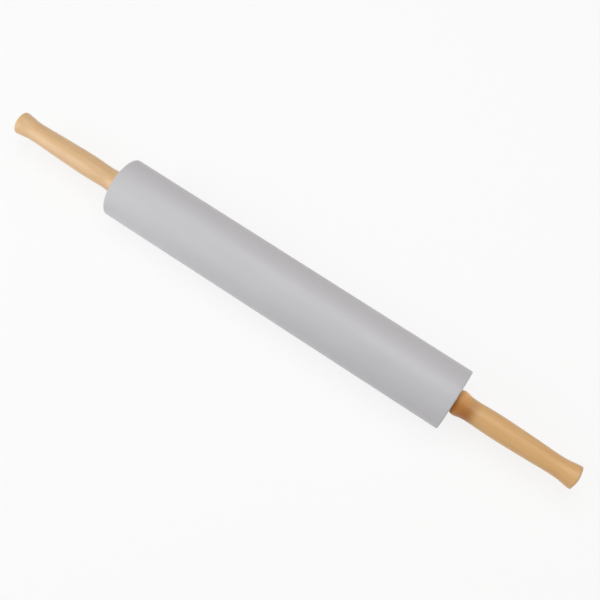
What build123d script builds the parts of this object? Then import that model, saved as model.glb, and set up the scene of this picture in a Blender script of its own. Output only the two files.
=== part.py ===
from build123d import *
import math
import os

# A roller rolling pin: a plastic barrel that turns on two ball bearings round a steel rod, with a turned
# wooden handle at each end. Millimetres. The pin lies along X, +Z is up, and the origin is the middle of
# the barrel.

# Barrel: a bar with a bore along it and a pocket for a bearing in each end
BARREL_LENGTH = 400.0
BARREL_RADIUS = 32.5
BARREL_EDGE_ROUND = 1.5
POCKET_CHAMFER = 0.5
BEARING_RECESS = 1.0  # how far each bearing sits below the barrel's end face

# Ball bearing of the common 10 x 26 x 8 size, sealed on the side that faces the handle
BEARING_BORE_RADIUS = 5.0
BEARING_OUTER_RADIUS = 13.0
BEARING_WIDTH = 8.0
BALL_RADIUS = 2.38
BALL_COUNT = 7
BALL_CORNER_COUNT = 48
LAND_OFFSET = 1.6  # how far each ring's plain wall, or land, lies from the circle of the balls' middles
SEAL_THICKNESS = 0.7
SEAL_RECESS = 0.3
SEAL_SEAT_DEPTH = 0.8  # how far the seal's rim reaches into the outer ring
CAGE_WALL = 2.2
CAGE_WEB = 0.5  # the least wall behind a ball
CAGE_PRONG = 1.0  # how far the cage's prongs pass the balls' middle

# Rod, with a shoulder behind each bearing and a thread at each end
ROD_RADIUS = 6.0
THREAD_RADIUS = 4.0
THREAD_OVERRUN = 3.0  # how far the thread stands out past the insert
THREAD_CHAMFER = 0.8
SEAT_SETBACK = 0.3  # the bearing's seat stops short, so the nut clamps the ring and not the rod

# Washer and lock nut that hold each bearing against its shoulder
WASHER_SETBACK = 0.2  # how far the washer's rim stays inside the inner ring's
WASHER_THICKNESS = 1.6
NUT_ACROSS_FLATS = 13.0
NUT_THICKNESS = 4.0
NUT_CHAMFER_SHARE = 0.92  # the chamfer's circle at a nut's face, over half the width across corners
NUT_CHAMFER_ANGLE = 30

# Barbed insert pressed into each handle
INSERT_LENGTH = 20.0
INSERT_RADIUS = 5.6
BARB_HEIGHT = 0.8
BARB_COUNT = 2

# Handle, turned from one piece of wood; its radii run from the face beside the barrel out to the flared end
HANDLE_LENGTH = 134.6
HANDLE_GAP = 0.8  # between the barrel's end face and the handle
HANDLE_FACE_RADIUS = 12.35
HANDLE_BEAD_RADIUS = 13.27
HANDLE_COVE_RADIUS = 12.4
HANDLE_WAIST_RADIUS = 11.42
HANDLE_SWELL_RADIUS = 11.8
HANDLE_BELLY_RADIUS = 12.04
HANDLE_GRIP_RADIUS = 11.74
HANDLE_TAPER_RADIUS = 11.02
HANDLE_NECK_RADIUS = 10.38
HANDLE_FLARE_START_RADIUS = 10.76
HANDLE_FLARE_RADIUS = 11.78
HANDLE_RIM_RADIUS = 12.42
HANDLE_RIM_ROUND = 1.6
HANDLE_DOME_HEIGHT = 2.2
HANDLE_FACE_SLOPE_SHARE = 0.4  # rise over run where the outline leaves the face
HANDLE_RIM_SLOPE_SHARE = 0.12  # rise over run where the outline meets the rounded rim
HANDLE_PULL_SHARE = 1 / 3  # how far each stretch's control points lie along it
PILOT_OVERRUN = 2.0  # how far the drilled hole goes past the rod's end

# Clearances
SEAT_CLEARANCE = 0.02  # between pieces that are pressed or screwed together
BALL_PLAY = 0.05
CAGE_PLAY = 0.1
SEAL_LIP_GAP = 0.1
ROD_BORE_CLEARANCE = 0.5
WASHER_HOLE_CLEARANCE = 0.2
NUT_RECESS_CLEARANCE = 0.75

# Places along X at the right-hand end
BARREL_END = BARREL_LENGTH / 2
BEARING_FACE = BARREL_END - BEARING_RECESS
BEARING_MIDDLE = BEARING_FACE - BEARING_WIDTH / 2
BEARING_BACK = BEARING_FACE - BEARING_WIDTH
SEAL_FACE = BEARING_FACE - SEAL_RECESS
SEAL_BACK = SEAL_FACE - SEAL_THICKNESS
WASHER_FACE = BEARING_FACE + WASHER_THICKNESS
NUT_FACE = WASHER_FACE + NUT_THICKNESS
INSERT_END = NUT_FACE + INSERT_LENGTH
ROD_END = INSERT_END + THREAD_OVERRUN
HANDLE_FACE = BARREL_END + HANDLE_GAP
HANDLE_TIP = HANDLE_FACE + HANDLE_LENGTH
HANDLE_DOME_EDGE = HANDLE_TIP - HANDLE_DOME_HEIGHT
HANDLE_RIM = HANDLE_DOME_EDGE - HANDLE_RIM_ROUND

# Radii that follow from the bearing, the thread and the nut
BALL_PITCH_RADIUS = (BEARING_BORE_RADIUS + BEARING_OUTER_RADIUS) / 2
INNER_LAND_RADIUS = BALL_PITCH_RADIUS - LAND_OFFSET
OUTER_LAND_RADIUS = BALL_PITCH_RADIUS + LAND_OFFSET
CAGE_INNER_RADIUS = BALL_PITCH_RADIUS - CAGE_WALL / 2
CAGE_OUTER_RADIUS = BALL_PITCH_RADIUS + CAGE_WALL / 2
WASHER_RADIUS = INNER_LAND_RADIUS - WASHER_SETBACK
POCKET_RADIUS = BEARING_OUTER_RADIUS + SEAT_CLEARANCE
SEAL_SEAT_RADIUS = OUTER_LAND_RADIUS + SEAL_SEAT_DEPTH
THREAD_HOLE_RADIUS = THREAD_RADIUS + SEAT_CLEARANCE
NUT_CORNER_RADIUS = NUT_ACROSS_FLATS / math.sqrt(3)

# The handle's stations: each place is a share of the handle's length, counted from its face
HANDLE_PLACE_SHARES = (0.0, 0.032, 0.066, 0.146, 0.24, 0.36, 0.47, 0.66, 0.815, 0.88, 0.93)
HANDLE_RADII = (
    HANDLE_FACE_RADIUS,
    HANDLE_BEAD_RADIUS,
    HANDLE_COVE_RADIUS,
    HANDLE_WAIST_RADIUS,
    HANDLE_SWELL_RADIUS,
    HANDLE_BELLY_RADIUS,
    HANDLE_GRIP_RADIUS,
    HANDLE_TAPER_RADIUS,
    HANDLE_NECK_RADIUS,
    HANDLE_FLARE_START_RADIUS,
    HANDLE_FLARE_RADIUS,
)


def turned(outline):
    """Solid of revolution about X from a closed outline, where X is the place and Y the radius."""
    return revolve(make_face(outline), axis=Axis.X)


def turned_corners(corners):
    """Solid of revolution about X from a straight-sided outline's corners, each given as (place, radius)."""
    return turned(Polyline(*corners, close=True))


def sleeve(start, end, inner, outer):
    """Plain ring along X."""
    return turned_corners([(start, inner), (end, inner), (end, outer), (start, outer)])


def plug(start, end, radius):
    """Plain round bar along X, for cutting holes."""
    return turned_corners([(start, 0), (end, 0), (end, radius), (start, radius)])


def at_left_end(piece):
    """The same piece at the other end: half a turn about Z."""
    return Rot(0, 0, 180) * piece


def at_every_ball(piece):
    """Copies of a piece at each ball's place round the bearing."""
    step = 360 / BALL_COUNT
    return [Rot(step * n, 0, 0) * piece for n in range(BALL_COUNT)]


def both_halves(right_half):
    """Corners of an outline that is alike on both sides of the pin's middle."""
    return right_half + [(-place, radius) for place, radius in reversed(right_half)]


def barrel():
    """Bar with rounded rims, a bore for the rod, and a chamfered pocket for each bearing."""
    bore = ROD_RADIUS + ROD_BORE_CLEARANCE
    blank = turned_corners(both_halves([
        (BARREL_END, BARREL_RADIUS),
        (BARREL_END, POCKET_RADIUS + POCKET_CHAMFER),
        (BARREL_END - POCKET_CHAMFER, POCKET_RADIUS),
        (BEARING_BACK, POCKET_RADIUS),
        (BEARING_BACK, bore),
    ]))
    rims = blank.edges().filter_by(lambda edge: edge.is_closed).sort_by(SortBy.LENGTH)[-2:]
    return fillet(rims, BARREL_EDGE_ROUND)


def axle_rod():
    """Rod with a shoulder behind each bearing and a thread, modelled plain, at each end."""
    seat = BEARING_BORE_RADIUS - SEAT_CLEARANCE
    seat_end = BEARING_FACE - SEAT_SETBACK
    return turned_corners(both_halves([
        (BEARING_BACK, ROD_RADIUS),
        (BEARING_BACK, seat),
        (seat_end, seat),
        (seat_end, THREAD_RADIUS),
        (ROD_END - THREAD_CHAMFER, THREAD_RADIUS),
        (ROD_END, THREAD_RADIUS - THREAD_CHAMFER),
        (ROD_END, 0),
    ]))


def raceway():
    """The ring-shaped track that the balls run in, as a solid to cut from both of the bearing's rings."""
    return Pos(BEARING_MIDDLE, 0, 0) * Rot(0, 90, 0) * Torus(BALL_PITCH_RADIUS, BALL_RADIUS + BALL_PLAY)


def inner_ring():
    """Bearing ring on the rod, with its raceway outside."""
    return sleeve(BEARING_BACK, BEARING_FACE, BEARING_BORE_RADIUS, INNER_LAND_RADIUS) - raceway()


def outer_ring():
    """Bearing ring in the barrel, with its raceway inside and a step for the seal."""
    blank = sleeve(BEARING_BACK, BEARING_FACE, OUTER_LAND_RADIUS, BEARING_OUTER_RADIUS)
    return blank - raceway() - plug(SEAL_BACK, BEARING_FACE, SEAL_SEAT_RADIUS)


def seal():
    """Rubber-faced washer that closes the bearing. The outer ring holds it; its lip clears the inner."""
    lip = INNER_LAND_RADIUS + SEAL_LIP_GAP
    return sleeve(SEAL_BACK, SEAL_FACE, lip, SEAL_SEAT_RADIUS - SEAT_CLEARANCE)


def cage():
    """Crown cage: a ring behind the balls, with a round pocket for each and prongs that close over it."""
    pocket_radius = BALL_RADIUS + CAGE_PLAY
    back = BEARING_MIDDLE - pocket_radius - CAGE_WEB
    crown = sleeve(back, BEARING_MIDDLE + CAGE_PRONG, CAGE_INNER_RADIUS, CAGE_OUTER_RADIUS)
    drill = Rot(90, 0, 0) * Cylinder(pocket_radius, 2 * CAGE_WALL)
    drill = Pos(BEARING_MIDDLE, BALL_PITCH_RADIUS, 0) * drill
    for pocket in at_every_ball(drill):
        crown -= pocket
    return crown


def ball():
    """One of the balls, many-sided: its corners wind over a sphere, one golden angle apart."""
    golden_angle = math.pi * (3 - math.sqrt(5))
    corners = []
    for n in range(BALL_CORNER_COUNT):
        height = 1 - (2 * n + 1) / BALL_CORNER_COUNT
        girth = math.sqrt(1 - height**2)
        angle = golden_angle * n
        corners.append(Vector(girth * math.cos(angle), girth * math.sin(angle), height) * BALL_RADIUS)
    return Pos(BEARING_MIDDLE, BALL_PITCH_RADIUS, 0) * ConvexPolyhedron(corners)


def washer():
    """Flat washer between the inner ring and the nut."""
    return sleeve(BEARING_FACE, WASHER_FACE, THREAD_RADIUS + WASHER_HOLE_CLEARANCE, WASHER_RADIUS)


def lock_nut():
    """Thin hexagon nut with the corners of both faces chamfered."""
    hexagon = Plane.YZ * RegularPolygon(NUT_CORNER_RADIUS, 6)
    prism = Pos(WASHER_FACE, 0, 0) * extrude(hexagon, NUT_THICKNESS)
    face_radius = NUT_CORNER_RADIUS * NUT_CHAMFER_SHARE
    drop = (NUT_CORNER_RADIUS - face_radius) * math.tan(math.radians(NUT_CHAMFER_ANGLE))
    envelope = turned_corners([
        (WASHER_FACE, 0),
        (WASHER_FACE, face_radius),
        (WASHER_FACE + drop, NUT_CORNER_RADIUS),
        (NUT_FACE - drop, NUT_CORNER_RADIUS),
        (NUT_FACE, face_radius),
        (NUT_FACE, 0),
    ])
    return (prism & envelope) - plug(WASHER_FACE, NUT_FACE, THREAD_HOLE_RADIUS)


def barbed_bar(radius):
    """Bar with saw-tooth barbs: each ramp leads into the handle, and each step stops it from pulling out."""
    pitch = INSERT_LENGTH / (BARB_COUNT + 1)
    corners = [(NUT_FACE, 0), (NUT_FACE, radius), (NUT_FACE + pitch, radius)]
    for n in range(1, BARB_COUNT + 1):
        step = NUT_FACE + n * pitch
        corners += [(step, radius + BARB_HEIGHT), (step + pitch, radius)]
    return turned_corners([*corners, (INSERT_END, 0)])


def handle_insert():
    """Barbed insert with a threaded hole, modelled plain."""
    return barbed_bar(INSERT_RADIUS) - plug(NUT_FACE, INSERT_END, THREAD_HOLE_RADIUS)


def stretch(guide, start, end):
    """Short curve between two stations, which leaves and meets them in the guide curve's own directions."""
    first, last = Vector(*start), Vector(*end)
    pull = (last.X - first.X) * HANDLE_PULL_SHARE
    leave = guide % guide.param_at_point(first)
    meet = guide % guide.param_at_point(last)
    return Bezier(first, first + leave * (pull / leave.X), last - meet * (pull / meet.X), last)


def handle_side():
    """The handle's long outline: a smooth chain of short curves through its stations."""
    places = [HANDLE_FACE + share * HANDLE_LENGTH for share in HANDLE_PLACE_SHARES] + [HANDLE_RIM]
    stations = list(zip(places, [*HANDLE_RADII, HANDLE_RIM_RADIUS]))
    guide = Spline(*stations, tangents=[(1, HANDLE_FACE_SLOPE_SHARE), (1, HANDLE_RIM_SLOPE_SHARE)])
    return [stretch(guide, start, end) for start, end in zip(stations, stations[1:])]


def handle():
    """Handle with a bead, a waist, a swelling grip, a neck and a flared end, bored for insert and nut."""
    face_centre = (HANDLE_FACE, 0)
    tip = (HANDLE_TIP, 0)
    face = Line(face_centre, (HANDLE_FACE, HANDLE_FACE_RADIUS))
    dome_edge = (HANDLE_DOME_EDGE, HANDLE_RIM_RADIUS - HANDLE_RIM_ROUND)
    rim = TangentArc((HANDLE_RIM, HANDLE_RIM_RADIUS), dome_edge, tangent=(1, HANDLE_RIM_SLOPE_SHARE))
    dome = TangentArc(tip, dome_edge, tangent=(0, 1))
    blank = turned(Wire([face, *handle_side(), rim, dome, Line(tip, face_centre)]))
    recess = plug(HANDLE_FACE, NUT_FACE, NUT_CORNER_RADIUS + NUT_RECESS_CLEARANCE)
    pilot = plug(INSERT_END, ROD_END + PILOT_OVERRUN, THREAD_HOLE_RADIUS)
    return blank - recess - barbed_bar(INSERT_RADIUS + SEAT_CLEARANCE) - pilot


def write(name, pieces):
    """Write one node: a single solid, or several alike ones as a group."""
    node = pieces[0] if len(pieces) == 1 else Compound(children=pieces)
    export_step(node, f"parts/{name}.step")


def write_at_each_end(name, pieces):
    """One node for each end of the pin."""
    write(f"{name}_right", pieces)
    write(f"{name}_left", [at_left_end(piece) for piece in pieces])


os.makedirs("parts", exist_ok=True)
write("barrel", [barrel()])
write("axle_rod", [axle_rod()])
write_at_each_end("handle", [handle()])
write_at_each_end("handle_insert", [handle_insert()])
write_at_each_end("lock_nut", [lock_nut()])
write_at_each_end("thrust_washer", [washer()])
write_at_each_end("bearing_inner_ring", [inner_ring()])
write_at_each_end("bearing_outer_ring", [outer_ring()])
write_at_each_end("bearing_seal", [seal()])
write_at_each_end("bearing_cage", [cage()])
write_at_each_end("bearing_balls", at_every_ball(ball()))
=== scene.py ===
"""Looks of a roller rolling pin: a satin plastic barrel on ball bearings between two turned wooden handles.

Metres. The pin lies along X, +Z is up, and the origin is the barrel's centre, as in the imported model.
"""

import math

import bpy
import numpy as np
from mathutils import Matrix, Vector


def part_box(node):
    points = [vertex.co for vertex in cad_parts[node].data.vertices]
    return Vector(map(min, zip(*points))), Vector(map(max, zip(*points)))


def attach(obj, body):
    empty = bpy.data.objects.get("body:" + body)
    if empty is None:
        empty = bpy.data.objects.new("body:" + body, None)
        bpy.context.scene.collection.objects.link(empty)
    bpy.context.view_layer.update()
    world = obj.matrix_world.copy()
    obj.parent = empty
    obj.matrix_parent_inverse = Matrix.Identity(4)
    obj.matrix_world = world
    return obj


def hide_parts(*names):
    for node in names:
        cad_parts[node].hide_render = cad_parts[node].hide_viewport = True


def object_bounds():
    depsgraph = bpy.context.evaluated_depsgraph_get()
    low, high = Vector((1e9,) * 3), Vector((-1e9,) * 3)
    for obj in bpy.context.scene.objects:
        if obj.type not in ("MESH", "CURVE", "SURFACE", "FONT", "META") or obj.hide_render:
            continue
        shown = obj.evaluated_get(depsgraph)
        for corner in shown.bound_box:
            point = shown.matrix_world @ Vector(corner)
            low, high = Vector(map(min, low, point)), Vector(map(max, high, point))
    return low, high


bl_info = {
    "name": "Roller rolling pin",
    "version": (1, 0, 0),
    "blender": (4, 5, 0),
    "location": "3D View > Sidebar > Roller pin",
    "description": "Makes the barrel, the turned handles and the finishes of a roller rolling pin",
    "category": "Add Mesh",
}

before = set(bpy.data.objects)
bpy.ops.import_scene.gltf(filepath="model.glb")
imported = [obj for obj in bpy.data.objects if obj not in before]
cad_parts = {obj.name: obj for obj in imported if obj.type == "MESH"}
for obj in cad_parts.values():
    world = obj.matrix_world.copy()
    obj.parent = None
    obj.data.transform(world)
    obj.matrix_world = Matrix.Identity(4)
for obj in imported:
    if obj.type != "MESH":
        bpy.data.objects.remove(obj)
PACKED_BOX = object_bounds()

MM = 0.001
ENDS = {"left": -1.0, "right": 1.0}
WHITE = (1.0, 1.0, 1.0, 1.0)

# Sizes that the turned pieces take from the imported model
BARREL_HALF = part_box("barrel")[1].x
BARREL_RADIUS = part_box("barrel")[1].z
RING_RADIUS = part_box("bearing_outer_ring_right")[1].z
RING_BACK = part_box("bearing_outer_ring_right")[0].x
ROD_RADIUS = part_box("axle_rod")[1].z
ROD_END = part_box("axle_rod")[1].x
HANDLE_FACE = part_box("handle_right")[0].x
HANDLE_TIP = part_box("handle_right")[1].x
NUT_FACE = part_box("lock_nut_right")[1].x
NUT_CORNER_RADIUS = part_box("lock_nut_right")[1].y
INSERT_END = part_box("handle_insert_right")[1].x

# The handle's outline: places as shares of its length from the face beside the barrel, the radius at each in
# millimetres, which of them is the waist, and the outline's slopes at the face and at the flared rim
HANDLE_PLACE_SHARES = (0.0, 0.032, 0.066, 0.146, 0.24, 0.36, 0.47, 0.66, 0.815, 0.88, 0.93)
HANDLE_RADII = (12.35, 13.27, 12.4, 11.42, 11.8, 12.04, 11.74, 11.02, 10.38, 10.76, 11.78)
WAIST = 3
FACE_SLOPE, RIM_SLOPE = 0.4, 0.12

# How finely the surfaces are divided: faces round the axis, points along each stretch of an outline, and the angle
# past which an edge stays sharp
BARREL_SEGMENTS, HANDLE_SEGMENTS = 192, 128
WALL_POINTS, CORNER_POINTS, FACE_POINTS, BORE_POINTS = 40, 10, 8, 12
BEAD_POINTS, GRIP_POINTS, RIM_POINTS, DOME_POINTS = 40, 110, 14, 16
SHARP_ANGLE = math.radians(28.0)

# Each handle's wood: the pith's (y, z) from the handle's axis, and how far the pattern is shifted along X
GRAIN = {"left": ((0.031, -0.052), 0.37), "right": ((-0.044, -0.038), 0.81)}

# Growth rings: how far they bend, in ring widths, how steeply each one deepens, and where in it the tone drops
RING_BEND, RING_STEEPNESS, RING_DROP = 1.6, 2.2, 0.93

# How much deeper the wood's tone is everywhere, in clouds, on end grain and in flecks, and how much the wide
# strands deepen it beside the fine fibres
BASE_DEPTH, CLOUD_DEPTH, END_GRAIN_DEPTH, FLECK_DEPTH = 0.18, 0.55, 0.35, 0.16
STRANDS_TO_FIBRES = 1.4

# Lacquer beside the barrel. As shares of its reach: where its golden brim and its brown pool fade out, and how far
# these edges sway. Then the brim's depth, the Y over which the pool fades out sideways, and what is left past it
WARM_SHADE_FADE, POOL_FADE = (0.195, 0.54), (0.54, 1.0)
LACQUER_SWAY = 0.43
WARM_SHADE_DEPTH = 0.85
POOL_SIDE, POOL_LEFT_OVER = (-0.008, 0.012), 0.1

# Where the photograph was taken from: the place, and the picture's right, up and back directions
CAMERA_PLACE = (0.1815, -0.2396, 0.9125)
CAMERA_RIGHT = (0.82979, 0.55809, 0.0)
CAMERA_UP = (-0.53192, 0.79088, 0.30262)
CAMERA_BACK = (0.16888, -0.25111, 0.95311)
SENSOR_WIDTH = 36.0

# The lamps: the setting that holds each one's power, its side, its place, the point that it shines at, its colour
LAMPS = {
    "lamp_left": ("key_power", 0.6, (-0.90, -0.61, 0.80), (-0.05, 0.0, 0.0), (0.92, 0.958, 1.0)),
    "lamp_low": ("low_power", 0.35, (-0.62, -0.50, 0.13), (-0.1, 0.0, 0.0), (0.93, 0.962, 1.0)),
    "lamp_top": ("top_power", 1.0, (-0.02, 0.25, 1.18), (0.0, 0.0, 0.0), (0.955, 0.985, 1.0)),
    "lamp_right": ("fill_power", 0.6, (1.25, 0.35, 0.75), (0.1, 0.0, 0.0), (1.0, 0.985, 0.97)),
}
ROOM_BLEND = 0.9

# The floor: half its side, its rows of points, and how far under the pin it lies
FLOOR_HALF, FLOOR_ROWS, FLOOR_GAP = 4.0, 9, 0.2 * MM


def arc_to(start, tangent, end, count):
    """Points of the circle that leaves start along tangent and passes through end, without the start point.

    The centre lies on the normal at start: c = start + n h, with h = |d|^2 / (2 d.n) and d = end - start. The
    points are start turned about c by even steps of the angle between the two radii.
    """
    start, end = np.array(start, float), np.array(end, float)
    tangent = np.array(tangent, float) / np.hypot(*tangent)
    normal = np.array((-tangent[1], tangent[0]))
    chord = end - start
    reach = (chord @ chord) / (2.0 * (chord @ normal))
    centre = start + normal * reach
    first, last = start - centre, end - centre
    turn = math.atan2(first[0] * last[1] - first[1] * last[0], first @ last)
    angles = turn * np.linspace(0.0, 1.0, count + 1)[1:]
    cosine, sine = np.cos(angles), np.sin(angles)
    x = cosine * first[0] - sine * first[1]
    y = sine * first[0] + cosine * first[1]
    return centre + np.stack((x, y), axis=1)


def smooth_through(places, radii, first_slope, last_slope, marks):
    """Radius at each mark on the smoothest curve through the stations, with a given slope at both ends.

    Between two stations the curve is a cubic. The slopes m at the stations solve the clamped spline's equations
    m[i-1] / h[i-1] + 2 (1 / h[i-1] + 1 / h[i]) m[i] + m[i+1] / h[i] = 3 (d[i-1] / h[i-1] + d[i] / h[i]), where h
    are the spans and d the mean slopes over them. Each mark is then a Hermite blend of the stations beside it.
    """
    spans = np.diff(places)
    mean_slopes = np.diff(radii) / spans
    system = np.eye(len(places))
    known = np.zeros(len(places))
    known[0], known[-1] = first_slope, last_slope
    inner = np.arange(1, len(places) - 1)
    before, after = 1.0 / spans[:-1], 1.0 / spans[1:]
    system[inner, inner - 1] = before
    system[inner, inner] = 2.0 * (before + after)
    system[inner, inner + 1] = after
    known[inner] = 3.0 * (mean_slopes[:-1] * before + mean_slopes[1:] * after)
    slopes = np.linalg.solve(system, known)
    span = np.clip(np.searchsorted(places, marks, side="right") - 1, 0, len(spans) - 1)
    width = spans[span]
    t = (marks - places[span]) / width
    return (
        (2 * t**3 - 3 * t**2 + 1) * radii[span]
        + (t**3 - 2 * t**2 + t) * width * slopes[span]
        + (3 * t**2 - 2 * t**3) * radii[span + 1]
        + (t**3 - t**2) * width * slopes[span + 1]
    )


def wall_faces(row_count, segments, way, closed):
    """Quads between the rows of a turned grid, and their UV corners (turn, way along the outline).

    Quad (i, j) has the corners (i, j), (i + 1, j), (i + 1, j + 1) and (i, j + 1). The columns close round the
    axis, and so do the rows of a closed outline. way holds the rows' places, and a closed outline's whole length.
    """
    row = np.arange(row_count if closed else row_count - 1)[:, None]
    column = np.arange(segments)[None, :]
    next_row, next_column = (row + 1) % row_count, (column + 1) % segments

    def stacked(corners):
        """What belongs to each quad's four corners, with one line for each quad."""
        shape = (len(row), segments)
        return np.stack([np.broadcast_to(corner, shape) for corner in corners], axis=-1).reshape(-1, 4)

    near, far = row * segments, next_row * segments
    quads = stacked((near + column, far + column, far + next_column, near + next_column))
    left, right = column / segments, (column + 1) / segments
    low, high = way[row], way[row + 1]
    return quads, np.stack((stacked((left, left, right, right)), stacked((low, high, high, low))), axis=-1)


def cap_faces(middle, ring, segments, middle_way, ring_way, order):
    """Triangles between a point on the axis and a ring of points, and their UV corners (turn, way).

    Triangle j has the corners middle, ring + j and ring + j + 1, at the turns j + 1/2, j and j + 1 out of n, and
    they are then put in the given order.
    """
    column = np.arange(segments)
    faces = np.stack((np.full(segments, middle), ring + column, ring + (column + 1) % segments), axis=1)
    turn = np.stack((column + 0.5, column, column + 1), axis=1) / segments
    way = np.broadcast_to((middle_way, ring_way, ring_way), turn.shape)
    return faces[:, order], np.stack((turn, way), axis=-1)[:, order]


def turned_mesh(name, outline, segments, closed):
    """Mesh of revolution about X: point (i, j) = (x_i, r_i cos(2 pi j / n), r_i sin(2 pi j / n)).

    The outline is an array of (x, r). A closed one makes a ring-like shell. An open one starts and ends on the
    axis, where its first and last rows become single points. Faces are turned to point outwards, which the sign
    of the enclosed volume tells: the sum over their triangles of a . (b x c), with corners a, b and c.
    """
    outline = np.asarray(outline, float)
    rows = outline if closed else outline[1:-1]
    turns = np.arange(segments) * (2.0 * math.pi / segments)
    grid = np.empty((len(rows), segments, 3))
    grid[..., 0] = rows[:, :1]
    grid[..., 1] = rows[:, 1:] * np.cos(turns)
    grid[..., 2] = rows[:, 1:] * np.sin(turns)
    points = grid.reshape(-1, 3)

    steps = np.hypot(*np.diff(np.vstack((outline, outline[:1])), axis=0).T)
    way = np.concatenate(([0.0], np.cumsum(steps)))
    if closed:
        parts = [wall_faces(len(rows), segments, way, closed)]
    else:
        count, last_row = len(points), len(points) - segments
        end = len(outline) - 1
        parts = [
            wall_faces(len(rows), segments, way[1:], closed),
            cap_faces(count, 0, segments, way[0], way[1], (0, 1, 2)),
            cap_faces(count + 1, last_row, segments, way[end], way[end - 1], (0, 2, 1)),
        ]
        points = np.vstack((points, (outline[0, 0], 0.0, 0.0), (outline[-1, 0], 0.0, 0.0)))

    volume = sum(
        np.einsum("ij,ij->", points[faces[:, 0]], np.cross(points[faces[:, k]], points[faces[:, k + 1]]))
        for faces, _ in parts
        for k in range(1, faces.shape[1] - 1)
    )
    if volume < 0:
        parts = [(faces[:, ::-1], corners[:, ::-1]) for faces, corners in parts]

    mesh = bpy.data.meshes.new(name)
    mesh.from_pydata(points, [], [face for faces, _ in parts for face in faces.tolist()])
    uv = mesh.uv_layers.new(name="turning")
    corner_uv = np.concatenate([corners.reshape(-1, 2) for _, corners in parts])
    uv.data.foreach_set("uv", corner_uv.astype(np.float32).ravel())
    mesh.validate()
    mesh.shade_smooth()
    mesh.set_sharp_from_angle(angle=SHARP_ANGLE)
    piece = bpy.data.objects.new(name, mesh)
    bpy.context.scene.collection.objects.link(piece)
    return piece


def even_stretch(start, end, count):
    """Points start (1 - s) + end s, with s even from 0 to 1."""
    share = np.linspace(0.0, 1.0, count)[:, None]
    return np.array(start, float) * (1.0 - share) + np.array(end, float) * share


def barrel_outline(settings):
    """Closed (x, r) outline of the barrel: wall, rounded rims, end faces, chamfered bearing pockets and bore.

    The right half is written from the middle of the wall to the middle of the bore, and the left half is its
    mirror image x -> -x, walked back.
    """
    half, radius, rim = settings.length / 2, settings.radius, settings.edge_round
    pocket, chamfer = settings.pocket_radius, settings.pocket_chamfer
    floor, bore_radius = settings.pocket_floor, settings.bore_radius
    wall = even_stretch((0.0, radius), (half - rim, radius), WALL_POINTS)
    corner = arc_to((half - rim, radius), (1.0, 0.0), (half, radius - rim), CORNER_POINTS)
    face = even_stretch((half, radius - rim), (half, pocket + chamfer), FACE_POINTS)[1:]
    seat = [(half - chamfer, pocket), (floor, pocket), (floor, bore_radius)]
    bore = even_stretch((floor, bore_radius), (0.0, bore_radius), BORE_POINTS)[1:]
    right = np.vstack((wall, corner, face, seat, bore))
    left = right[1:-1][::-1] * (-1.0, 1.0)
    return np.vstack((right, left))


def handle_outline(settings):
    """Open (x, r) outline of the right-hand handle, from the middle of its domed tip to the end of its hole.

    Outside, a clamped spline runs through the stations, an arc rounds the rim, and an arc centred on the axis
    makes the dome. Inside come the recess for the nut, the socket for the insert, which is a plain neck and two
    barbs, each a third of its length, and the plain hole for the rod.
    """
    face, tip = HANDLE_FACE, HANDLE_FACE + settings.length
    rim_x = tip - settings.dome_height - settings.rim_round
    edge = (tip - settings.dome_height, settings.rim_radius - settings.rim_round)
    places = np.array([face + share * settings.length for share in HANDLE_PLACE_SHARES] + [rim_x])
    radii = np.array([radius * MM * settings.girth for radius in HANDLE_RADII] + [settings.rim_radius])
    bead = np.linspace(places[0], places[WAIST], BEAD_POINTS)
    grip = np.linspace(places[WAIST], places[-1], GRIP_POINTS)[1:]
    marks = np.concatenate((bead, grip))
    side = np.stack((marks, smooth_through(places, radii, FACE_SLOPE, RIM_SLOPE, marks)), axis=1)
    rim = arc_to(side[-1], (1.0, RIM_SLOPE), edge, RIM_POINTS)
    dome = arc_to((tip, 0.0), (0.0, 1.0), edge, DOME_POINTS)
    outside = np.vstack(([(tip, 0.0)], dome, rim[:-1][::-1], side[::-1]))

    recess = NUT_CORNER_RADIUS + settings.nut_room
    socket = settings.socket_radius
    third = (INSERT_END - NUT_FACE) / 3
    inside = [(face, recess), (NUT_FACE, recess), (NUT_FACE, socket), (NUT_FACE + third, socket)]
    for n in (1, 2):
        inside += [(NUT_FACE + n * third, socket + settings.barb_height), (NUT_FACE + (n + 1) * third, socket)]
    bottom = ROD_END + settings.hole_overrun
    inside += [(INSERT_END, settings.hole_radius), (bottom, settings.hole_radius), (bottom, 0.0)]
    return np.vstack((outside, inside))


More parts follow.
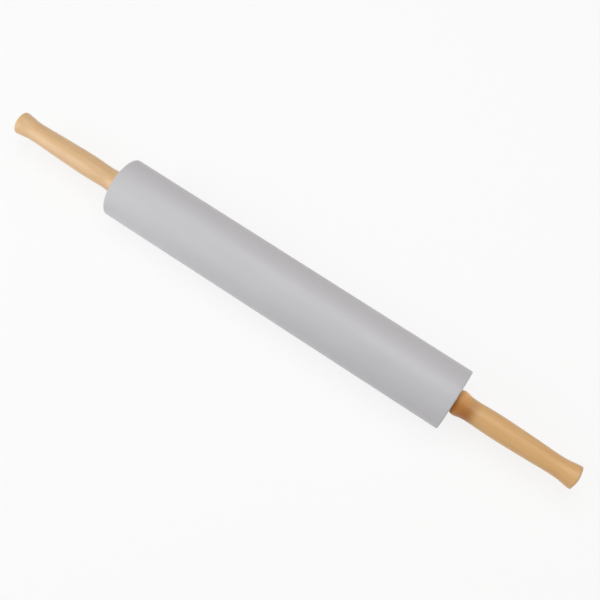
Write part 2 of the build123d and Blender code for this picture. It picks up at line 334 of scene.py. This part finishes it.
class Recipe:
    """Nodes of a material or of the room's light, with short ways to add and link them."""

    def __init__(self, tree):
        """Starts on a node tree."""
        self.tree = tree

    def node(self, kind, inputs, **settings):
        """Adds a node. Inputs are constants or other nodes' sockets, by name or place."""
        made = self.tree.nodes.new(kind)
        for setting, value in settings.items():
            setattr(made, setting, value)
        for place, value in inputs.items():
            self.feed(made.inputs[place], value)
        return made

    def feed(self, socket, value):
        """Sets a socket's constant, or links another node's output to it."""
        if isinstance(value, bpy.types.NodeSocket):
            self.tree.links.new(value, socket)
        else:
            socket.default_value = value

    def place(self):
        """Object coordinates, in metres."""
        return self.node("ShaderNodeTexCoord", {}).outputs["Object"]

    def facing(self):
        """The surface's own direction, in the object's axes."""
        return self.node("ShaderNodeTexCoord", {}).outputs["Normal"]

    def moved(self, vector, scale=(1.0, 1.0, 1.0), location=(0.0, 0.0, 0.0), rotation=(0.0, 0.0, 0.0)):
        """Coordinates scaled, turned and then shifted."""
        inputs = {"Vector": vector, "Scale": scale, "Location": location, "Rotation": rotation}
        return self.node("ShaderNodeMapping", inputs).outputs["Vector"]

    def split(self, vector):
        """The x, y and z of a vector."""
        return self.node("ShaderNodeSeparateXYZ", {0: vector}).outputs

    def distance(self, y, z):
        """How far a point lies from the X axis: sqrt(y^2 + z^2)."""
        across = self.node("ShaderNodeCombineXYZ", {0: 0.0, 1: y, 2: z}).outputs[0]
        return self.node("ShaderNodeVectorMath", {0: across}, operation="LENGTH").outputs["Value"]

    def reckon(self, kind, a, b=0.0, clamp=False):
        """One step of arithmetic."""
        return self.node("ShaderNodeMath", {0: a, 1: b}, operation=kind, use_clamp=clamp).outputs[0]

    def plus(self, a, b, clamp=False):
        """a + b, clamped to 0 to 1 if asked."""
        return self.reckon("ADD", a, b, clamp)

    def minus(self, a, b):
        """a - b."""
        return self.reckon("SUBTRACT", a, b)

    def times(self, a, b):
        """a b."""
        return self.reckon("MULTIPLY", a, b)

    def swing(self, noise, amount):
        """Noise about zero: (noise - 1/2) amount."""
        return self.times(self.minus(noise, 0.5), amount)

    def noise(self, vector, scale, detail=2.0, rough=0.5, distortion=0.0):
        """Soft noise from 0 to 1."""
        inputs = {"Vector": vector, "Scale": scale, "Detail": detail, "Roughness": rough, "Distortion": distortion}
        return self.node("ShaderNodeTexNoise", inputs).outputs["Fac"]

    def line_noise(self, way, scale, detail):
        """Noise along one length, so that it makes parallel lines."""
        inputs = {"W": way, "Scale": scale, "Detail": detail}
        return self.node("ShaderNodeTexNoise", inputs, noise_dimensions="1D").outputs["Fac"]

    def ranged(self, value, low, high, out_low=0.0, out_high=1.0):
        """The value's range from low to high, spread smoothly over out_low to out_high and clamped there."""
        inputs = {"Value": value, "From Min": low, "From Max": high, "To Min": out_low, "To Max": out_high}
        return self.node("ShaderNodeMapRange", inputs, interpolation_type="SMOOTHSTEP").outputs[0]

    def tint(self, share, a, b, kind="MIX"):
        """Colour a, changed towards b by a share."""
        made = self.node("ShaderNodeMix", {0: share}, data_type="RGBA", blend_type=kind, clamp_factor=True)
        self.feed(made.inputs[6], a)
        self.feed(made.inputs[7], b)
        return made.outputs[2]

    def end_on(self):
        """How much the surface faces along X, from 0 to 1."""
        return self.reckon("ABSOLUTE", self.split(self.facing())[0])

    def cut(self, place):
        """How far a lathe's tool has gone, and how much a point is on an end face.

        The tool goes along X on walls and along the radius on end faces: way = radius on_face + x (1 - on_face).
        """
        x, y, z = self.split(place)
        on_face = self.ranged(self.end_on(), 0.7, 0.95)
        on_wall = self.minus(1.0, on_face)
        return self.plus(self.times(self.distance(y, z), on_face), self.times(x, on_wall)), on_face

    def seen(self):
        """1 for what the camera, a mirror or glass sees, else 0."""
        path = self.node("ShaderNodeLightPath", {}).outputs
        either = self.reckon("MAXIMUM", path["Is Camera Ray"], path["Is Glossy Ray"])
        return self.reckon("MAXIMUM", either, path["Is Transmission Ray"])

    def whitened(self, shader, white, share):
        """A shader mixed with a white one by a share, as an output."""
        return self.node("ShaderNodeMixShader", {0: share, 1: shader, 2: white}).outputs[0]


class Finish(Recipe):
    """A material under construction, with its Principled shader."""

    def __init__(self, name, **constants):
        """Starts the material and sets constants on the shader's own sockets."""
        self.material = bpy.data.materials.new(name)
        self.material.use_nodes = True
        super().__init__(self.material.node_tree)
        self.shader = self.tree.nodes["Principled BSDF"]
        for socket, value in constants.items():
            self.shader.inputs[socket.replace("_", " ")].default_value = value

    def relief(self, height, depth, strength, under=None):
        """A bump of a depth in metres, on top of another one."""
        inputs = {"Height": height, "Distance": depth, "Strength": strength}
        if under is not None:
            inputs["Normal"] = under
        return self.node("ShaderNodeBump", inputs).outputs["Normal"]

    def wear(self, colour, roughness, normal):
        """Links the finished colour, roughness and bump to the shader, and returns the material."""
        self.feed(self.shader.inputs["Base Color"], colour)
        self.feed(self.shader.inputs["Roughness"], roughness)
        self.feed(self.shader.inputs["Normal"], normal)
        return self.material


def opaque(colour, factor=1.0):
    """A colour with full alpha, made lighter or darker by a factor."""
    return (*(channel * factor for channel in colour), 1.0)


def satin_plastic(settings):
    """Barrel plastic: soft cloudy tone, faint turning lines round the wall, and facing rings on the end faces."""
    finish = Finish("barrel_satin_plastic", IOR=1.5)
    place = finish.place()
    way, on_face = finish.cut(place)
    cloud = finish.noise(finish.moved(place, scale=(0.35, 1.0, 1.0)), scale=22.0, detail=4.0, rough=0.55)
    pores = finish.noise(place, scale=2600.0)
    lines = finish.line_noise(way, scale=1700.0, detail=3.0)
    colour = finish.tint(finish.ranged(cloud, 0.3, 0.7), opaque(settings.colour), opaque(settings.second_colour))
    colour = finish.tint(finish.ranged(pores, 0.6, 0.85, 0.0, 0.10), colour, opaque(settings.colour, 0.78))
    rough = finish.plus(settings.roughness - 0.06, finish.times(cloud, 0.08))
    rough = finish.plus(rough, finish.times(lines, 0.04))
    fine = finish.relief(pores, depth=0.012 * MM, strength=0.5)
    line_height = finish.times(lines, finish.ranged(on_face, 0.0, 1.0, 0.35, 1.0))
    return finish.wear(colour, rough, finish.relief(line_height, depth=0.012 * MM, strength=0.6, under=fine))


def turned_wood(settings, end):
    """Lacquered beech turned along its grain, for the handle at one end.

    Growth rings are the distance from a pith line parallel to X, counted in ring widths and bent a little by slow
    noise; within each ring the tone deepens slowly and then drops. Fibres and strands are noise drawn out along X,
    flecks are short dashes of noise above a level, and end grain, where the surface faces along X, looks deeper.
    Beside the barrel the lacquer has a golden brim all round, and has pooled brown on the side towards -Y.
    """
    parts = ("light", "dark", "lacquer", "gloss")
    light, dark, lacquer, gloss = (getattr(settings, f"{end}_{part}") for part in parts)
    (pith_y, pith_z), shift = GRAIN[end]
    finish = Finish(f"handle_beech_{end}", IOR=1.5, Coat_Weight=gloss, Coat_Roughness=0.36, Coat_IOR=1.5)
    own_place = finish.place()
    place = finish.moved(own_place, location=(shift, 0.0, 0.0))
    _, y, z = finish.split(place)
    bend = finish.noise(finish.moved(place, scale=(0.12, 1.0, 1.0)), scale=55.0, detail=3.0)
    from_pith = finish.distance(finish.minus(y, pith_y), finish.minus(z, pith_z))
    rings = finish.reckon("DIVIDE", from_pith, settings.ring_width)
    rings = finish.reckon("FRACT", finish.plus(rings, finish.times(bend, RING_BEND)))
    ring_end = finish.ranged(rings, RING_DROP, 1.0, 1.0, 0.0)
    ring_tone = finish.times(finish.reckon("POWER", rings, RING_STEEPNESS), ring_end)

    fibres = finish.noise(finish.moved(place, scale=(0.03, 1.0, 1.0)), scale=2300.0, detail=3.0, rough=0.6)
    strands = finish.noise(finish.moved(place, scale=(0.02, 1.0, 1.0)), scale=620.0, rough=0.55)
    dashes = finish.noise(finish.moved(place, scale=(0.16, 1.0, 1.0)), scale=1500.0, detail=1.0, rough=0.4)
    flecks = finish.ranged(dashes, 0.66, 0.76)
    cloud = finish.noise(finish.moved(place, scale=(0.4, 1.0, 1.0)), scale=70.0, detail=3.0)
    end_grain = finish.ranged(finish.end_on(), 0.25, 1.0)

    depth = finish.times(ring_tone, settings.ring_contrast)
    depth = finish.plus(depth, finish.swing(fibres, settings.fibre_contrast))
    depth = finish.plus(depth, finish.swing(strands, STRANDS_TO_FIBRES * settings.fibre_contrast))
    depth = finish.plus(depth, finish.swing(cloud, CLOUD_DEPTH))
    depth = finish.plus(depth, finish.times(end_grain, END_GRAIN_DEPTH))
    depth = finish.plus(depth, BASE_DEPTH, clamp=True)
    colour = finish.tint(depth, opaque(light), opaque(dark))
    colour = finish.tint(finish.times(flecks, FLECK_DEPTH), colour, opaque(dark, 0.55))

    reach = settings.lacquer_reach
    warm_shade_start, warm_shade_end = (share * reach for share in WARM_SHADE_FADE)
    pool_start, pool_end = (share * reach for share in POOL_FADE)
    x, y, _ = finish.split(own_place)
    from_face = finish.minus(finish.reckon("ABSOLUTE", x), HANDLE_FACE)
    from_face = finish.plus(from_face, finish.swing(cloud, LACQUER_SWAY * reach))
    # Painted shade and warm bounce light: a golden tone all round the handle beside the barrel, fading out along X
    warm_shade = finish.ranged(from_face, warm_shade_start, warm_shade_end, WARM_SHADE_DEPTH * lacquer, 0.0)
    sideways = finish.ranged(y, *POOL_SIDE, lacquer, POOL_LEFT_OVER * lacquer)
    pool = finish.times(sideways, finish.ranged(from_face, pool_start, pool_end, 1.0, 0.0))
    colour = finish.tint(warm_shade, colour, opaque(settings.warm_shade_tone))
    colour = finish.tint(pool, colour, opaque(settings.lacquer_tone), "MULTIPLY")

    rough = finish.plus(0.36, finish.times(fibres, 0.10))
    rough = finish.plus(rough, finish.times(end_grain, 0.10))
    grooves = finish.plus(fibres, finish.times(flecks, -0.5))
    slow = finish.relief(strands, depth=0.03 * MM, strength=0.5)
    return finish.wear(colour, rough, finish.relief(grooves, depth=0.012 * MM, strength=0.55, under=slow))


def turned_metal(name, colour, shade, roughness, line_scale, line_depth):
    """Metal cut on a lathe: lines round the axis on walls and on faces, and slow clouds of a darker shade."""
    finish = Finish(name, Metallic=1.0)
    place = finish.place()
    lines = finish.line_noise(finish.cut(place)[0], line_scale, detail=4.0)
    cloud = finish.noise(place, scale=160.0, detail=3.0)
    tone = finish.tint(finish.ranged(cloud, 0.35, 0.65), opaque(colour), opaque(colour, shade))
    tone = finish.tint(finish.times(lines, 0.22), tone, opaque(colour, 0.6))
    rough = finish.plus(roughness, finish.times(finish.plus(lines, cloud), 0.07))
    return finish.wear(tone, rough, finish.relief(lines, line_depth, strength=0.6))


def polished_steel():
    """Bearing balls: near-mirror steel with a faint haze."""
    finish = Finish("ball_polished_steel", Metallic=1.0)
    haze = finish.noise(finish.place(), scale=900.0, detail=3.0)
    colour = finish.tint(finish.ranged(haze, 0.3, 0.7), (0.80, 0.80, 0.81, 1.0), (0.70, 0.70, 0.72, 1.0))
    rough = finish.plus(0.06, finish.times(haze, 0.06))
    return finish.wear(colour, rough, finish.relief(haze, depth=0.002 * MM, strength=0.4))


def moulded_rubber():
    """Bearing seal: matt black rubber with rings moulded 1.3 mm apart and a fine bloom."""
    finish = Finish("seal_moulded_rubber", IOR=1.52)
    place = finish.place()
    _, y, z = finish.split(place)
    rings = finish.reckon("SINE", finish.times(finish.distance(y, z), 2.0 * math.pi / (1.3 * MM)))
    bloom = finish.noise(place, scale=800.0, detail=4.0, rough=0.6)
    bare, bloomed = (0.022, 0.022, 0.023, 1.0), (0.060, 0.058, 0.056, 1.0)
    colour = finish.tint(finish.ranged(bloom, 0.4, 0.75), bare, bloomed)
    rough = finish.plus(0.58, finish.times(bloom, 0.2))
    shape = finish.relief(rings, depth=0.06 * MM, strength=0.6)
    return finish.wear(colour, rough, finish.relief(bloom, depth=0.01 * MM, strength=0.4, under=shape))


def filled_nylon():
    """Bearing cage: cream nylon with short glass fibres showing at the surface."""
    finish = Finish("cage_filled_nylon", IOR=1.53)
    place = finish.place()
    along_fibres = finish.moved(place, scale=(0.2, 1.0, 1.0), rotation=(0.4, 0.7, 0.0))
    fibres = finish.noise(along_fibres, scale=4200.0)
    cloud = finish.noise(place, scale=300.0, detail=3.0)
    cream, dark_cream, glass = (0.56, 0.48, 0.34, 1.0), (0.50, 0.42, 0.28, 1.0), (0.72, 0.68, 0.58, 1.0)
    colour = finish.tint(finish.ranged(cloud, 0.35, 0.65), cream, dark_cream)
    colour = finish.tint(finish.ranged(fibres, 0.62, 0.72, 0.0, 0.35), colour, glass)
    rough = finish.plus(0.42, finish.times(fibres, 0.15))
    return finish.wear(colour, rough, finish.relief(fibres, depth=0.008 * MM, strength=0.5))


def plated_steel(colour):
    """Zinc-plated fasteners: a clear grey with faint warmer clouds from the plating bath."""
    finish = Finish("fastener_zinc", Metallic=1.0)
    place = finish.place()
    cloud = finish.noise(place, scale=420.0, detail=4.0, rough=0.6, distortion=0.4)
    grit = finish.noise(place, scale=6000.0)
    warm = [channel * factor for channel, factor in zip(colour, (0.98, 0.95, 0.88))]
    tone = finish.tint(finish.ranged(cloud, 0.35, 0.65), opaque(colour), opaque(warm))
    rough = finish.plus(0.26, finish.times(grit, 0.14))
    return finish.wear(tone, rough, finish.relief(grit, depth=0.004 * MM, strength=0.5))


def floor_material(settings):
    """Pale floor that keeps the shadow, with a share of white added where camera, mirror or glass sees it."""
    colour = opaque(settings.floor_colour)
    finish = Finish("floor_pale", Roughness=0.9, Specular_IOR_Level=0.0, Base_Color=colour)
    share = finish.times(finish.seen(), settings.floor_glow)
    white = finish.node("ShaderNodeEmission", {"Color": WHITE, "Strength": 1.0}).outputs[0]
    surface = finish.whitened(finish.shader.outputs[0], white, share)
    finish.feed(finish.tree.nodes["Material Output"].inputs["Surface"], surface)
    return finish.material


def room(settings):
    """World: soft light, dimmer and warmer on the far side, and white where camera, mirror or glass sees it."""
    world = bpy.data.worlds.new("room")
    world.use_nodes = True
    world.node_tree.nodes.clear()
    light = Recipe(world.node_tree)
    direction = light.node("ShaderNodeTexCoord", {}).outputs["Generated"]
    far = light.ranged(light.split(direction)[1], -ROOM_BLEND, ROOM_BLEND)
    tone = light.tint(far, opaque(settings.sky_near), opaque(settings.sky_far))
    soft = light.node("ShaderNodeBackground", {"Color": tone, "Strength": settings.sky}).outputs[0]
    white = light.node("ShaderNodeBackground", {"Color": WHITE, "Strength": 1.0}).outputs[0]
    light.node("ShaderNodeOutputWorld", {"Surface": light.whitened(soft, white, light.seen())})
    return world


def dress(names, material):
    """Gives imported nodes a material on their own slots."""
    for name in names:
        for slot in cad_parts[name].material_slots:
            slot.material = material


def at_both_ends(*names):
    """The names of nodes that both ends of the pin have."""
    return [f"{name}_{end}" for name in names for end in ENDS]


def looking(place, right, up, back):
    """The matrix of a camera or lamp from its place and its three directions."""
    return Matrix([[right[k], up[k], back[k], place[k]] for k in range(3)] + [[0.0, 0.0, 0.0, 1.0]])


def lamp(name, power, side, place, aim, colour):
    """Square area lamp at a place, turned so that it shines at a point."""
    data = bpy.data.lights.new(name, "AREA")
    data.energy, data.size, data.color = power, side, colour
    made = bpy.data.objects.new(name, data)
    back = np.array(place, float) - np.array(aim, float)
    back /= np.linalg.norm(back)
    right = np.cross((0.0, 1.0, 0.0), back)
    right /= np.linalg.norm(right)
    made.matrix_world = looking(place, right, np.cross(back, right), back)
    bpy.context.scene.collection.objects.link(made)


def floor_mesh(half, height):
    """Flat square floor: point (i, j) = (half s_i, half s_j, height), with s even from -1 to 1."""
    share = np.linspace(-1.0, 1.0, FLOOR_ROWS)
    x, y = np.meshgrid(share * half, share * half, indexing="ij")
    points = np.stack((x, y, np.full_like(x, height)), axis=-1).reshape(-1, 3)
    row, column = np.meshgrid(np.arange(FLOOR_ROWS - 1), np.arange(FLOOR_ROWS - 1), indexing="ij")
    corner = (row * FLOOR_ROWS + column).ravel()
    quads = np.stack((corner, corner + FLOOR_ROWS, corner + FLOOR_ROWS + 1, corner + 1), axis=1)
    mesh = bpy.data.meshes.new("floor")
    mesh.from_pydata(points, [], quads.tolist())
    return mesh


# What all colours and all shares among the settings have in common
COLOUR = {"size": 3, "subtype": "COLOR", "min": 0.0, "max": 1.0}
SHARE = {"subtype": "FACTOR", "min": 0.0, "max": 1.0}


class BarrelSettings(bpy.types.PropertyGroup):
    """Sizes and colours of the barrel."""

    length: bpy.props.FloatProperty(
        name="Length", description="Length of the barrel", default=2 * BARREL_HALF, unit="LENGTH"
    )
    radius: bpy.props.FloatProperty(
        name="Radius", description="Outer radius of the barrel", default=BARREL_RADIUS, unit="LENGTH"
    )
    edge_round: bpy.props.FloatProperty(
        name="Rim rounding", description="Radius of the rounded rims", default=1.5 * MM, unit="LENGTH"
    )
    pocket_radius: bpy.props.FloatProperty(
        name="Pocket radius",
        description="Radius of the pocket that holds a bearing",
        default=RING_RADIUS + 0.02 * MM,
        unit="LENGTH",
    )
    pocket_chamfer: bpy.props.FloatProperty(
        name="Pocket chamfer", description="Chamfer at the pocket's mouth", default=0.5 * MM, unit="LENGTH"
    )
    pocket_floor: bpy.props.FloatProperty(
        name="Pocket floor",
        description="Distance of the pocket's floor from the middle",
        default=RING_BACK,
        unit="LENGTH",
    )
    bore_radius: bpy.props.FloatProperty(
        name="Bore radius",
        description="Radius of the bore round the rod",
        default=ROD_RADIUS + 0.5 * MM,
        unit="LENGTH",
    )
    colour: bpy.props.FloatVectorProperty(
        name="Colour", description="Main colour of the plastic", default=(0.575, 0.572, 0.594), **COLOUR
    )
    second_colour: bpy.props.FloatVectorProperty(
        name="Second colour",
        description="Tone of the soft clouds in the plastic",
        default=(0.555, 0.549, 0.566),
        **COLOUR,
    )
    roughness: bpy.props.FloatProperty(
        name="Roughness", description="How matt the plastic is", default=0.42, **SHARE
    )


class HandleSettings(bpy.types.PropertyGroup):
    """Sizes and wood of the handles."""

    length: bpy.props.FloatProperty(
        name="Length", description="Length of a handle", default=HANDLE_TIP - HANDLE_FACE, unit="LENGTH"
    )
    girth: bpy.props.FloatProperty(
        name="Girth",
        description="Factor on every radius of the grip",
        default=1.0,
        subtype="FACTOR",
        min=0.5,
        max=1.5,
    )
    rim_radius: bpy.props.FloatProperty(
        name="Rim radius", description="Radius of the flared end", default=12.42 * MM, unit="LENGTH"
    )
    rim_round: bpy.props.FloatProperty(
        name="Rim rounding", description="Length of the rounded rim", default=1.6 * MM, unit="LENGTH"
    )
    dome_height: bpy.props.FloatProperty(
        name="Dome height", description="Height of the domed end", default=2.2 * MM, unit="LENGTH"
    )
    nut_room: bpy.props.FloatProperty(
        name="Nut room", description="Room round the nut's corners", default=0.75 * MM, unit="LENGTH"
    )
    socket_radius: bpy.props.FloatProperty(
        name="Socket radius", description="Radius of the insert's socket", default=5.62 * MM, unit="LENGTH"
    )
    barb_height: bpy.props.FloatProperty(
        name="Barb height", description="Height of the insert's barbs", default=0.8 * MM, unit="LENGTH"
    )
    hole_radius: bpy.props.FloatProperty(
        name="Hole radius", description="Radius of the drilled hole", default=4.02 * MM, unit="LENGTH"
    )
    hole_overrun: bpy.props.FloatProperty(
        name="Hole overrun", description="Depth of the hole past the rod", default=2.0 * MM, unit="LENGTH"
    )
    ring_width: bpy.props.FloatProperty(
        name="Ring width", description="Width of one year's growth", default=2.4 * MM, unit="LENGTH"
    )
    ring_contrast: bpy.props.FloatProperty(
        name="Ring contrast", description="Depth of the growth rings' tone", default=0.30, **SHARE
    )
    fibre_contrast: bpy.props.FloatProperty(
        name="Fibre contrast", description="Depth of the fibres' tone", default=0.45, **SHARE
    )
    lacquer_reach: bpy.props.FloatProperty(
        name="Lacquer reach",
        description="How far the pooled lacquer reaches from the barrel's side",
        default=27.3 * MM,
        unit="LENGTH",
    )
    lacquer_tone: bpy.props.FloatVectorProperty(
        name="Lacquer tone",
        description="Tone of the pooled lacquer over the wood",
        default=(0.60, 0.37, 0.08),
        **COLOUR,
    )
    # Golden tone of the painted shade and warm bounce light beside the barrel
    warm_shade_tone: bpy.props.FloatVectorProperty(
        name="Brim tone",
        description="Golden tone of the lacquered brim beside the barrel",
        default=(0.96, 0.55, 0.18),
        **COLOUR,
    )
    left_lacquer: bpy.props.FloatProperty(
        name="Left, lacquer", description="How much lacquer has pooled on the left handle", default=0.05, **SHARE
    )
    right_lacquer: bpy.props.FloatProperty(
        name="Right, lacquer", description="How much lacquer has pooled on the right handle", default=1.0, **SHARE
    )
    left_gloss: bpy.props.FloatProperty(
        name="Left, gloss", description="Weight of the lacquer's coat on the left handle", default=0.6, **SHARE
    )
    right_gloss: bpy.props.FloatProperty(
        name="Right, gloss", description="Weight of the lacquer's coat on the right handle", default=0.32, **SHARE
    )
    left_light: bpy.props.FloatVectorProperty(
        name="Left, light", description="Light tone of the left handle", default=(0.748, 0.49, 0.243), **COLOUR
    )
    left_dark: bpy.props.FloatVectorProperty(
        name="Left, dark", description="Dark tone of the left handle", default=(0.632, 0.356, 0.145), **COLOUR
    )
    right_light: bpy.props.FloatVectorProperty(
        name="Right, light", description="Light tone of the right handle", default=(0.764, 0.464, 0.187), **COLOUR
    )
    right_dark: bpy.props.FloatVectorProperty(
        name="Right, dark", description="Dark tone of the right handle", default=(0.614, 0.315, 0.099), **COLOUR
    )


class FittingSettings(bpy.types.PropertyGroup):
    """Colours of the metal pieces inside."""

    rod_colour: bpy.props.FloatVectorProperty(
        name="Rod", description="Colour of the rod's steel", default=(0.56, 0.56, 0.57), **COLOUR
    )
    zinc_colour: bpy.props.FloatVectorProperty(
        name="Zinc plating", description="Colour of nuts and washers", default=(0.62, 0.62, 0.64), **COLOUR
    )
    brass_colour: bpy.props.FloatVectorProperty(
        name="Brass", description="Colour of the handle inserts", default=(0.76, 0.58, 0.28), **COLOUR
    )
    bearing_colour: bpy.props.FloatVectorProperty(
        name="Bearing steel", description="Colour of the bearing rings", default=(0.72, 0.72, 0.73), **COLOUR
    )


class StageSettings(bpy.types.PropertyGroup):
    """Floor, light and camera."""

    floor_colour: bpy.props.FloatVectorProperty(
        name="Floor", description="Colour of the floor", default=(0.92, 0.92, 0.92), **COLOUR
    )
    floor_glow: bpy.props.FloatProperty(
        name="Floor whiteness",
        description="Share of pure white that the camera sees in the floor",
        default=0.82,
        **SHARE,
    )
    sky: bpy.props.FloatProperty(
        name="Room light", description="Strength of the light from all round", default=0.48, min=0.0, max=4.0
    )
    sky_near: bpy.props.FloatVectorProperty(
        name="Room, near side",
        description="Tone of the room's light on the camera's side",
        default=(1.0, 0.98, 0.97),
        **COLOUR,
    )
    sky_far: bpy.props.FloatVectorProperty(
        name="Room, far side",
        description="Tone of the room's light on the far side",
        default=(0.63, 0.535, 0.49),
        **COLOUR,
    )
    key_power: bpy.props.FloatProperty(
        name="Left lamp", description="Power of the large lamp at the left", default=3.3, unit="POWER", min=0.0
    )
    low_power: bpy.props.FloatProperty(
        name="Low lamp", description="Power of the low lamp at the left", default=0.8, unit="POWER", min=0.0
    )
    top_power: bpy.props.FloatProperty(
        name="Top lamp", description="Power of the lamp above", default=6.5, unit="POWER", min=0.0
    )
    fill_power: bpy.props.FloatProperty(
        name="Right lamp", description="Power of the lamp at the right", default=1.5, unit="POWER", min=0.0
    )
    lens: bpy.props.FloatProperty(
        name="Lens", description="Focal length on a 36 mm sensor", default=57.83, unit="CAMERA", min=10.0
    )


class RollerPinSettings(bpy.types.PropertyGroup):
    """All settings of the rolling pin."""

    barrel: bpy.props.PointerProperty(
        type=BarrelSettings, name="Barrel", description="Settings of the barrel"
    )
    handle: bpy.props.PointerProperty(
        type=HandleSettings, name="Handles", description="Settings of the handles"
    )
    fitting: bpy.props.PointerProperty(
        type=FittingSettings, name="Fittings", description="Settings of the metal pieces"
    )
    stage: bpy.props.PointerProperty(
        type=StageSettings, name="Stage", description="Settings of floor, light and camera"
    )


class ROLLER_PIN_OT_make_barrel(bpy.types.Operator):
    """Make the satin plastic barrel, with its bearing pockets and bore"""

    bl_idname = "roller_pin.make_barrel"
    bl_label = "Make the barrel"

    def execute(self, context):
        settings = context.scene.roller_pin.barrel
        piece = turned_mesh("roller_barrel", barrel_outline(settings), BARREL_SEGMENTS, closed=True)
        piece.data.materials.append(satin_plastic(settings))
        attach(piece, "roller")
        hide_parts("barrel")
        return {"FINISHED"}


class ROLLER_PIN_OT_make_handles(bpy.types.Operator):
    """Make both turned wooden handles"""

    bl_idname = "roller_pin.make_handles"
    bl_label = "Make the handles"

    def execute(self, context):
        settings = context.scene.roller_pin.handle
        outline = handle_outline(settings)
        for end, side in ENDS.items():
            piece = turned_mesh(f"turned_handle_{end}", outline * (side, 1.0), HANDLE_SEGMENTS, closed=False)
            piece.data.materials.append(turned_wood(settings, end))
            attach(piece, "axle")
            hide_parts(f"handle_{end}")
        return {"FINISHED"}


class ROLLER_PIN_OT_finish_axle(bpy.types.Operator):
    """Give the rod, nuts, washers and inserts their metal finishes"""

    bl_idname = "roller_pin.finish_axle"
    bl_label = "Finish the axle"

    def execute(self, context):
        settings = context.scene.roller_pin.fitting
        steel = turned_metal(
            "rod_turned_steel",
            settings.rod_colour,
            shade=0.9,
            roughness=0.24,
            line_scale=2400.0,
            line_depth=0.008 * MM,
        )
        brass = turned_metal(
            "insert_turned_brass",
            settings.brass_colour,
            shade=0.88,
            roughness=0.2,
            line_scale=3000.0,
            line_depth=0.01 * MM,
        )
        dress(["axle_rod"], steel)
        dress(at_both_ends("lock_nut", "thrust_washer"), plated_steel(settings.zinc_colour))
        dress(at_both_ends("handle_insert"), brass)
        return {"FINISHED"}


class ROLLER_PIN_OT_finish_bearings(bpy.types.Operator):
    """Give the bearings' rings, seals, cages and balls their finishes"""

    bl_idname = "roller_pin.finish_bearings"
    bl_label = "Finish the bearings"

    def execute(self, context):
        steel = turned_metal(
            "bearing_ground_steel",
            context.scene.roller_pin.fitting.bearing_colour,
            shade=0.94,
            roughness=0.12,
            line_scale=5200.0,
            line_depth=0.003 * MM,
        )
        dress(at_both_ends("bearing_inner_ring", "bearing_outer_ring"), steel)
        dress(at_both_ends("bearing_seal"), moulded_rubber())
        dress(at_both_ends("bearing_cage"), filled_nylon())
        dress(at_both_ends("bearing_balls"), polished_steel())
        return {"FINISHED"}


class ROLLER_PIN_OT_set_stage(bpy.types.Operator):
    """Set the pale floor, the soft lamps, the room light and the camera"""

    bl_idname = "roller_pin.set_stage"
    bl_label = "Set the stage"

    def execute(self, context):
        settings = context.scene.roller_pin.stage
        floor = bpy.data.objects.new("floor", floor_mesh(FLOOR_HALF, PACKED_BOX[0].z - FLOOR_GAP))
        floor.data.materials.append(floor_material(settings))
        context.scene.collection.objects.link(floor)
        context.scene.world = room(settings)
        for name, (power, side, place, aim, colour) in LAMPS.items():
            lamp(name, getattr(settings, power), side, place, aim, colour)
        camera = bpy.data.objects.new("camera", bpy.data.cameras.new("camera"))
        camera.data.lens = settings.lens
        camera.data.sensor_width = SENSOR_WIDTH
        camera.matrix_world = looking(CAMERA_PLACE, CAMERA_RIGHT, CAMERA_UP, CAMERA_BACK)
        context.scene.collection.objects.link(camera)
        context.scene.camera = camera
        context.scene.view_settings.view_transform = "Standard"
        return {"FINISHED"}


class ROLLER_PIN_PT_sidebar(bpy.types.Panel):
    """The rolling pin's settings and steps"""

    bl_idname = "ROLLER_PIN_PT_sidebar"
    bl_label = "Roller pin"
    bl_space_type = "VIEW_3D"
    bl_region_type = "UI"
    bl_category = "Roller pin"

    def draw(self, context):
        settings = context.scene.roller_pin
        for title, group, steps in (
            ("Barrel", settings.barrel, ("make_barrel",)),
            ("Handles", settings.handle, ("make_handles",)),
            ("Fittings", settings.fitting, ("finish_axle", "finish_bearings")),
            ("Stage", settings.stage, ("set_stage",)),
        ):
            box = self.layout.box()
            box.label(text=title)
            for name in group.bl_rna.properties.keys():
                if name not in ("rna_type", "name"):
                    box.prop(group, name)
            for step in steps:
                box.operator(f"roller_pin.{step}")


CLASSES = (
    BarrelSettings,
    HandleSettings,
    FittingSettings,
    StageSettings,
    RollerPinSettings,
    ROLLER_PIN_OT_make_barrel,
    ROLLER_PIN_OT_make_handles,
    ROLLER_PIN_OT_finish_axle,
    ROLLER_PIN_OT_finish_bearings,
    ROLLER_PIN_OT_set_stage,
    ROLLER_PIN_PT_sidebar,
)


def register():
    """Registers the classes and hangs the settings on the scene."""
    for cls in CLASSES:
        bpy.utils.register_class(cls)
    bpy.types.Scene.roller_pin = bpy.props.PointerProperty(type=RollerPinSettings)


def unregister():
    """Takes the settings off the scene and unregisters the classes."""
    del bpy.types.Scene.roller_pin
    for cls in reversed(CLASSES):
        bpy.utils.unregister_class(cls)


def main():
    register()
    bpy.ops.roller_pin.set_stage()
    bpy.ops.roller_pin.make_barrel()
    bpy.ops.roller_pin.make_handles()
    bpy.ops.roller_pin.finish_axle()
    bpy.ops.roller_pin.finish_bearings()


if __name__ == "__main__":
    main()
